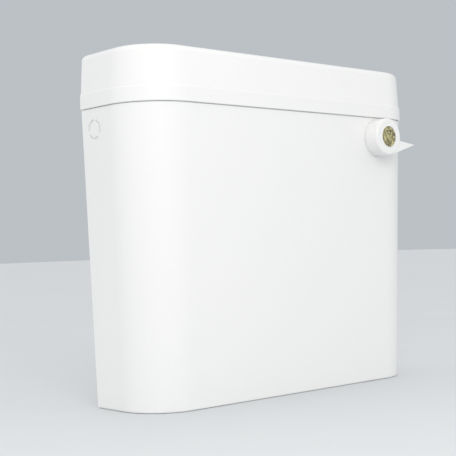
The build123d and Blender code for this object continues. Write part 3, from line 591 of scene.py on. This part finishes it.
def closed_copy(node_name):
    """A copy of a solid's mesh with its loose triangles joined and its stored normals dropped."""
    mesh = nodes[node_name].data.copy()
    shell = bmesh.new()
    shell.from_mesh(mesh)
    bmesh.ops.remove_doubles(shell, verts=shell.verts, dist=weld * mm)
    bmesh.ops.dissolve_degenerate(shell, edges=shell.edges, dist=weld * mm)
    shell.to_mesh(mesh)
    shell.free()
    open_edges = point_outwards(mesh)
    for stored in ("custom_normal", "sharp_face", "sharp_edge"):
        if stored in mesh.attributes:
            mesh.attributes.remove(mesh.attributes[stored])
    print(node_name, "copied:", len(mesh.vertices), "points,", open_edges, "open edges")
    return mesh


# %% [markdown]
# ## The lid
# The lid follows a rule. Seen from above, every level is a rectangle with two rounded front
# corners, and its width, depth and corner radius change evenly from the lid's foot to its top.
# Seen in section, one line runs from the middle of the ceiling down inside, round the lower edge
# and up outside to the middle of the top. Sweeping the section along the outline gives a mesh
# with the right rows and columns, and the rule then sets each point: a rounded outline is a
# plain rectangle, the core, grown by its radius, so a point is its place on the core plus its
# outward direction times the radius less the section's inset. The band round the foot is an
# exception: it is upright and has its own corner radius. A sweep alone can't change the corner
# radius on the way up, and modelling point by point would hide the rule.

# %% The drafted shell tree
pole_inset = 200.0  # a point drawn this far in stands for the middle of the ceiling or of the top
corner_steps = 24


def drafted_shell_tree():
    shell = Shape(
        "drafted_shell",
        foot_width=0.4, foot_depth=0.1, foot_radius=0.05, foot_z=0.0,
        top_width=0.4, top_depth=0.1, top_radius=0.05, top_z=0.1,
        back=0.0, band_z=0.0, band_inset=0.0, band_radius=0.0, corner_steps=corner_steps,
    )
    size = shell.given

    def join(x, y, z):
        return shell.add("ShaderNodeCombineXYZ", None, [x, y, z])

    def split(vector):
        cut = shell.add("ShaderNodeSeparateXYZ", None, [vector])
        return [Value(shell, cut.socket.node.outputs[axis]) for axis in range(3)]

    def vector_math(operation, *vectors):
        return shell.add("ShaderNodeVectorMath", {"operation": operation}, vectors)

    def capture(geometry, name, field):
        settings = {"data_type": "FLOAT_VECTOR", "domain": "POINT"}
        inputs = {"Geometry": geometry, "Name": name, "Value": field}
        return shell.add("GeometryNodeStoreNamedAttribute", settings, inputs)

    def recall(name):
        settings = {"data_type": "FLOAT_VECTOR"}
        return split(shell.add("GeometryNodeInputNamedAttribute", settings, {"Name": name}))

    # the outline at the foot, with its two front corners rounded
    width, depth, radius = (size["foot_" + name] for name in ("width", "depth", "radius"))
    back = size["back"]
    rectangle = shell.add("GeometryNodeCurvePrimitiveQuadrilateral", {"mode": "RECTANGLE"}, {
        "Width": width, "Height": depth - back,
    })
    lowered = shell.add("GeometryNodeTransform", None, {
        "Geometry": rectangle, "Translation": join(0.0, (depth + back) * -0.5, 0.0),
    })
    place = shell.add("GeometryNodeInputPosition")
    is_front = split(place)[1].math("LESS_THAN", depth * -0.5)
    outline = shell.add("GeometryNodeFilletCurve", {"mode": "POLY"}, {
        "Curve": lowered, "Count": size["corner_steps"], "Radius": radius * is_front,
    })
    # each point's place on the core, as shares of it, and its outward direction
    core_half = width * 0.5 - radius
    core_depth = depth - radius
    low = join(core_half * -1, core_depth * -1, 0.0)
    high = join(core_half, back * -1, 0.0)
    core = vector_math("MINIMUM", vector_math("MAXIMUM", place, low), high)
    core_x, core_y, _ = split(core)
    share_x = core_x.math("DIVIDE", core_half)
    share_y = (core_y + back).math("DIVIDE", (core_depth - back) * -1)
    outward = vector_math("NORMALIZE", vector_math("SUBTRACT", place, core))
    outline = capture(outline, "core_share", join(share_x, share_y, 0.0))
    outline = capture(outline, "outward", outward)
    # the section's own coordinates: its inset, its inset at the back, and its height
    section = shell.add("GeometryNodeMeshToCurve", None, {"Mesh": size["Mesh"]})
    section = capture(section, "drawn", place)
    curves = {"Curve": outline, "Profile Curve": section}
    swept = shell.add("GeometryNodeCurveToMesh", None, curves)
    # the rule
    inset, back_inset, height = recall("drawn")
    band = height.math("LESS_THAN", size["band_z"]) * inset.math("LESS_THAN", size["band_inset"])
    whole_height = size["top_z"] - size["foot_z"]
    share = (height - size["foot_z"]).math("DIVIDE", whole_height, clamp=True) * (1 - band)
    row_width, row_depth, row_radius = (
        size["foot_" + name] + share * (size["top_" + name] - size["foot_" + name])
        for name in ("width", "depth", "radius")
    )
    row_radius = row_radius - band * (size["foot_radius"] - size["band_radius"])
    on_x, on_y, _ = recall("core_share")
    out_x, out_y, _ = recall("outward")
    grown = row_radius - inset
    x = on_x * (row_width * 0.5 - row_radius) + out_x * grown
    y = out_y * grown - back - on_y * (row_depth - row_radius - back) - (1 - on_y) * back_inset
    is_pole = inset.math("GREATER_THAN", pole_inset / 2 * mm)
    x = x * (1 - is_pole)
    y = y * (1 - is_pole) - is_pole * row_depth * 0.5
    inputs = {"Geometry": swept, "Position": join(x, y, height)}
    ruled = shell.add("GeometryNodeSetPosition", None, inputs)
    inputs = {"Geometry": ruled, "Distance": 0.01 * mm}
    shell.end(shell.add("GeometryNodeMergeByDistance", None, inputs))
    return shell


drafted_shell = drafted_shell_tree()

# %% [markdown]
# The section is drawn as a chain of points. Rounded edges are short arcs in it, so changing one
# radius changes that edge all round the lid. The two ends are drawn far inside: the tree takes
# them for the middle of the ceiling and of the top.

# %% Draw the lid's section and sweep it
def arc(centre_inset, centre_z, radius, start, end, steps=6):
    """Points of an arc in the section, in degrees from outwards (0) to up (90)."""
    points = []
    for step in range(steps + 1):
        angle = math.radians(start + (end - start) * step / steps)
        outwards, upwards = radius * math.cos(angle), radius * math.sin(angle)
        points.append((centre_inset - outwards, centre_z + upwards))
    return points


lid_low, lid_high = (Vector(corner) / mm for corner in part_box("lid"))
band_step = 1.2  # how far the band stands out from the cover
band_wall = 2.6
cover_wall = 3.2
band_top = lid_low.z + 17.3
ceiling_step = lid_low.z + 11.0  # a step inside, which rests on the tank's rim
top_edge = 7.2  # radii of the rounded edges
band_edge = 2.2
lip_inner_edge = 0.5
lip_outer_edge = 1.0
inner_edge = top_edge - cover_wall
# the angle at which the band's rounded edge meets the cover
meets_cover = 90 - math.degrees(math.asin((band_edge - band_step) / band_edge))
band_inner = band_wall - band_step  # an inset, counted from the cover's outside

section = [(pole_inset, lid_high.z - cover_wall)]
section += reversed(arc(top_edge, lid_high.z - top_edge, inner_edge, 0, 90))
section += [(cover_wall, ceiling_step), (band_inner, ceiling_step)]
section += arc(band_inner - lip_inner_edge, lid_low.z + lip_inner_edge, -lip_inner_edge, 0, 90, 3)
section += arc(lip_outer_edge - band_step, lid_low.z + lip_outer_edge, lip_outer_edge, -90, 0, 4)
section += arc(band_edge - band_step, band_top - band_edge, band_edge, 0, meets_cover)
section += arc(top_edge, lid_high.z - top_edge, top_edge, 0, 90, 8)
section += [(pole_inset, lid_high.z)]


def back_inset(inset, z):
    """The flat back has no band step, and keeps the band's wall inside the skirt."""
    return band_wall if inset == band_inner and z <= ceiling_step else max(inset, 0)


drawing = bpy.data.meshes.new("lid_section")
drawing.from_pydata(
    [(inset * mm, back_inset(inset, z) * mm, z * mm) for inset, z in section],
    [(a, a + 1) for a in range(len(section) - 1)],
    [],
)
# the foot and top give the cover's draft; band_z and band_inset tell the band's points from the
# cover's, and lie between the two
lid_sizes = {
    "foot_width": 442.6, "foot_depth": 112.2, "foot_radius": 62.0, "foot_z": lid_low.z + 1,
    "top_width": 436.9, "top_depth": 108.3, "top_radius": 52.0, "top_z": lid_high.z,
    "back": 0.4, "band_z": band_top - 0.2, "band_inset": 2.0, "band_radius": 59.8,
}
lid_shell = drafted_shell.run(
    "lid_shell", drawing, finishes["shell_plastic"], corner_steps=corner_steps,
    **{name: size * mm for name, size in lid_sizes.items()},
)
open_edges = point_outwards(lid_shell.data)
print("lid:", len(lid_shell.data.vertices), "points,", open_edges, "open edges")
smooth(lid_shell)
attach(lid_shell, "lid")
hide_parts("lid")
low = [min(v.co[axis] for v in lid_shell.data.vertices) / mm for axis in range(3)]
high = [max(v.co[axis] for v in lid_shell.data.vertices) / mm for axis in range(3)]
print("lid from", low, "to", high, "and the solid from", lid_low, "to", lid_high)

# %% [markdown]
# ## Threads
# Three tails on a cistern carry a thread: the siphon's outlet, the valve's inlet and the lever's
# bush. The solids are drawn plain at the thread's outside size, so the groove has to be cut into
# them. A thread is one groove on a helix: a kite-shaped section swept along a spiral, a little
# narrower than the pitch so that a flat crest stays between the turns, and subtracted with a
# boolean. The section shrinks to nothing over the last part of a turn, as a cutter that is drawn
# back leaves it. A bump map could fake this, but the outline of a coarse thread shows its teeth.
# A boolean may leave crumbs, tiny closed bits beside the body, so the tree counts the points of
# each separate part and deletes the small ones.

# %% The thread tree
groove_share = 0.64  # the groove's depth as a share of the pitch
crest_share = 0.14  # the flat crest's width as a share of the pitch
steps_per_turn = 48
run_out = 1.4  # how much of its full size the cutter gains in a turn from its far end
thinnest = 0.002  # its size at that end, as a share, because it can't be nothing
crumb_points = 100.0  # a part of the cut body with fewer points is a crumb


def thread_tree():
    thread = Shape(
        "thread", radius=0.01, pitch=0.002, length=0.02,
        place=(0.0, 0.0, 0.0), turn=(0.0, 0.0, 0.0),
    )
    size = thread.given
    turns = size["length"].math("DIVIDE", size["pitch"])
    spiral = thread.add("GeometryNodeCurveSpiral", None, {
        "Resolution": steps_per_turn, "Rotations": turns, "Start Radius": size["radius"],
        "End Radius": size["radius"], "Height": size["length"],
    })
    upright = thread.add("GeometryNodeSetCurveNormal", {"mode": "Z_UP"}, {"Curve": spiral})
    groove = thread.add("GeometryNodeCurvePrimitiveQuadrilateral", {"mode": "KITE"}, {
        "Width": 2 * groove_share * size["pitch"],
        "Bottom Height": (1 - crest_share) / 2 * size["pitch"],
        "Top Height": (1 - crest_share) / 2 * size["pitch"],
    })
    along = thread.add("GeometryNodeSplineParameter")
    left_over = (1 - along) * turns
    shrink = left_over.math("MULTIPLY", run_out, clamp=True) + thinnest
    cutter = thread.add("GeometryNodeCurveToMesh", None, {
        "Curve": upright, "Profile Curve": groove, "Scale": shrink, "Fill Caps": True,
    })
    placed = thread.add("GeometryNodeTransform", None, {
        "Geometry": cutter, "Translation": size["place"], "Rotation": size["turn"],
    })
    cut = thread.add("GeometryNodeMeshBoolean", {"operation": "DIFFERENCE", "solver": "EXACT"}, {
        "Mesh 1": size["Mesh"], "Mesh 2": placed,
    })
    # the cut may leave a crumb where the groove grazes the free end, and doubled points
    island = thread.add("GeometryNodeInputMeshIsland", output="Island Index")
    points_on_island = thread.add(
        "GeometryNodeAccumulateField", {"data_type": "FLOAT", "domain": "POINT"},
        {"Value": 1.0, "Group ID": island}, "Total",
    )
    is_crumb = points_on_island.math("LESS_THAN", crumb_points)
    whole = thread.add("GeometryNodeDeleteGeometry", {"domain": "POINT"}, {
        "Geometry": cut, "Selection": is_crumb,
    })
    inputs = {"Geometry": whole, "Distance": 0.001 * mm}
    thread.end(thread.add("GeometryNodeMergeByDistance", None, inputs))
    return thread


thread = thread_tree()

# %% Cut the three threads
lead_in = 1.2  # pitches past the free end, so that the groove runs out through it


def threaded(name, node_name, radius, pitch, free_end, away, reach):
    """A node's copy with a thread that starts at its free end and runs the given way."""
    start = Vector(free_end) - Vector(away) * lead_in * pitch
    piece = thread.run(
        name, closed_copy(node_name), finishes[slot_of[node_name]],
        radius=radius * mm, pitch=pitch * mm, length=(reach + lead_in * pitch) * mm,
        place=start * mm, turn=Vector((0, 0, 1)).rotation_difference(Vector(away)).to_euler(),
    )
    smooth(piece)
    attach(piece, "root")
    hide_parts(node_name)
    print(name, "has", len(piece.data.vertices), "points and", reach / pitch, "turns")


threaded(
    "siphon_threaded", "siphon_body", radius=23.9, pitch=2.309,
    free_end=(0, -50, -277.6), away=(0, 0, 1), reach=23.2,
)
# the inlet is opposite the knock-out
threaded(
    "valve_threaded", "valve_body", radius=10.48, pitch=1.814,
    free_end=(248, knockout_y, knockout_z), away=(-1, 0, 0), reach=18.2,
)
threaded(
    "bush_threaded", "lever_bush", radius=8.0, pitch=1.5,
    free_end=(140, -91.6, 20), away=(0, -1, 0), reach=12.0,
)

# %% [markdown]
# ## The badge's lens
# A drop of clear resin over patterned foil: a flat disc with a rounded shoulder and a faintly
# domed face. It is turned about its axis, like work in a lathe, from a short profile of points
# that give a radius and a height.

# %% Turn the lens
def turned(name, profile, centre, steps=64):
    """A closed solid turned about the front-to-back axis; heights point to the front."""
    points, faces = [], []
    for radius, height in profile[1:-1]:
        for step in range(steps):
            angle = math.tau * step / steps
            points.append(Vector((radius * math.cos(angle), -height, radius * math.sin(angle))))
    for row in range(len(profile) - 3):
        for step in range(steps):
            a, b = row * steps + step, row * steps + (step + 1) % steps
            faces.append((a, b, b + steps, a + steps))
    for pole, ring in ((0, 0), (-1, len(profile) - 3)):
        points.append(Vector((0, -profile[pole][1], 0)))
        for step in range(steps):
            faces.append((ring * steps + step, ring * steps + (step + 1) % steps, len(points) - 1))
    mesh = bpy.data.meshes.new(name)
    mesh.from_pydata([(Vector(centre) + point) * mm for point in points], [], faces)
    point_outwards(mesh)
    return new_object(name, mesh)


badge_low, badge_high = (Vector(corner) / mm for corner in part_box("handle_badge"))
badge_radius = (badge_high.x - badge_low.x) / 2
badge_depth = badge_high.y - badge_low.y
badge_centre = ((badge_low.x + badge_high.x) / 2, badge_high.y, (badge_low.z + badge_high.z) / 2)
dome = 0.35  # how far the middle of the face stands out
shoulder = 0.45  # radius of the rounded shoulder
shoulder_steps = 4
face_rings = (0.85, 0.65, 0.4, 0.15, 0.0)  # radii of the domed face's points, as shares
lens_profile = [(0, 0), (badge_radius, 0), (badge_radius, badge_depth - shoulder)]
for step in range(1, shoulder_steps + 1):
    angle = math.radians(90 * step / shoulder_steps)
    inwards, down = shoulder * (1 - math.cos(angle)), shoulder * (1 - math.sin(angle))
    lens_profile.append((badge_radius - inwards, badge_depth - down))
for share in face_rings:
    lens_profile.append((share * badge_radius, badge_depth + dome * (1 - share * share)))
lens = turned("badge_lens", lens_profile, badge_centre)
lens.data.materials.append(finishes["badge"])
smooth(lens)
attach(lens, "flush_lever")
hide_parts("handle_badge")
print("lens", len(lens.data.vertices), "points, radius", badge_radius)

# %% [markdown]
# ## Floor
# A plain pale floor just under the tank's lower edge catches its soft shadow. It is wide enough
# to reach the horizon, and it is part of the stage, not of the object.

# %% Floor
low_z = cad_box[0][2]
floor_gap = 0.3 * mm
floor_half = 12.0  # metres
floor_mesh = bpy.data.meshes.new("floor")
signs = ((-1, -1), (1, -1), (1, 1), (-1, 1))
corners = [(x * floor_half, y * floor_half, low_z - floor_gap) for x, y in signs]
floor_mesh.from_pydata(corners, [], [(0, 1, 2, 3)])
floor = new_object("floor", floor_mesh)

ground = Finish("floor", Specular_IOR_Level=0.1)
paint = ground.mix(ground.noise(300, 3), colour(0.66, 0.68, 0.7), colour(0.69, 0.705, 0.72))
matt = 0.8 + 0.1 * ground.noise(40, 2)
floor_mesh.materials.append(ground.finish(Base_Color=paint, Roughness=matt))

# %% [markdown]
# ## Light
# Soft studio light at a plain level: an even world lights every side, and one soft lamp from the
# front left gives the corner its brightness and puts a soft shadow under the boss. The lamp
# stands low, because one from higher up would burn out the lid's top before the front is bright
# enough. Rays from the camera, reflections and rays through clear bodies see the backdrop's own
# colour instead of the world's light.

# %% World and lamp
world = bpy.data.worlds.new("world")
world.use_nodes = True
bpy.context.scene.world = world
sky = Tree(world.node_tree)
sky_node = world.node_tree.nodes["Background"]
backdrop = (0.50, 0.53, 0.56)
ambient = (0.975, 0.978, 0.976)
is_camera, is_glossy, is_through = (
    sky.add("ShaderNodeLightPath", output=f"Is {kind} Ray")
    for kind in ("Camera", "Glossy", "Transmission")
)
seen = is_camera.math("MAXIMUM", is_glossy).math("MAXIMUM", is_through)
behind = {"Factor": seen, 6: colour(*ambient), 7: colour(*backdrop)}
sky.plug(sky_node.inputs["Color"], sky.add("ShaderNodeMix", {"data_type": "RGBA"}, behind, 2))

aim = (Vector(cad_box[0]) + Vector(cad_box[1])) / 2
aim.z = -90 * mm  # the middle of the tank's front
warm_white = (1.0, 0.985, 0.95)


def lamp(name, around, above, distance, size, watts):
    """A square lamp aimed at the tank; around is degrees from the front towards the left."""
    data = bpy.data.lights.new(name, "AREA")
    data.size = size
    data.energy = watts
    data.color = warm_white
    spot = new_object(name, data)
    a, e = math.radians(around), math.radians(above)
    away = Vector((-math.sin(a) * math.cos(e), -math.cos(a) * math.cos(e), math.sin(e)))
    spot.location = aim + away * distance
    spot.rotation_euler = (-away).to_track_quat("-Z", "Y").to_euler()


lamp("key_lamp", around=38, above=28, distance=1.35, size=0.55, watts=4.3)
bpy.context.scene.view_settings.view_transform = "Standard"
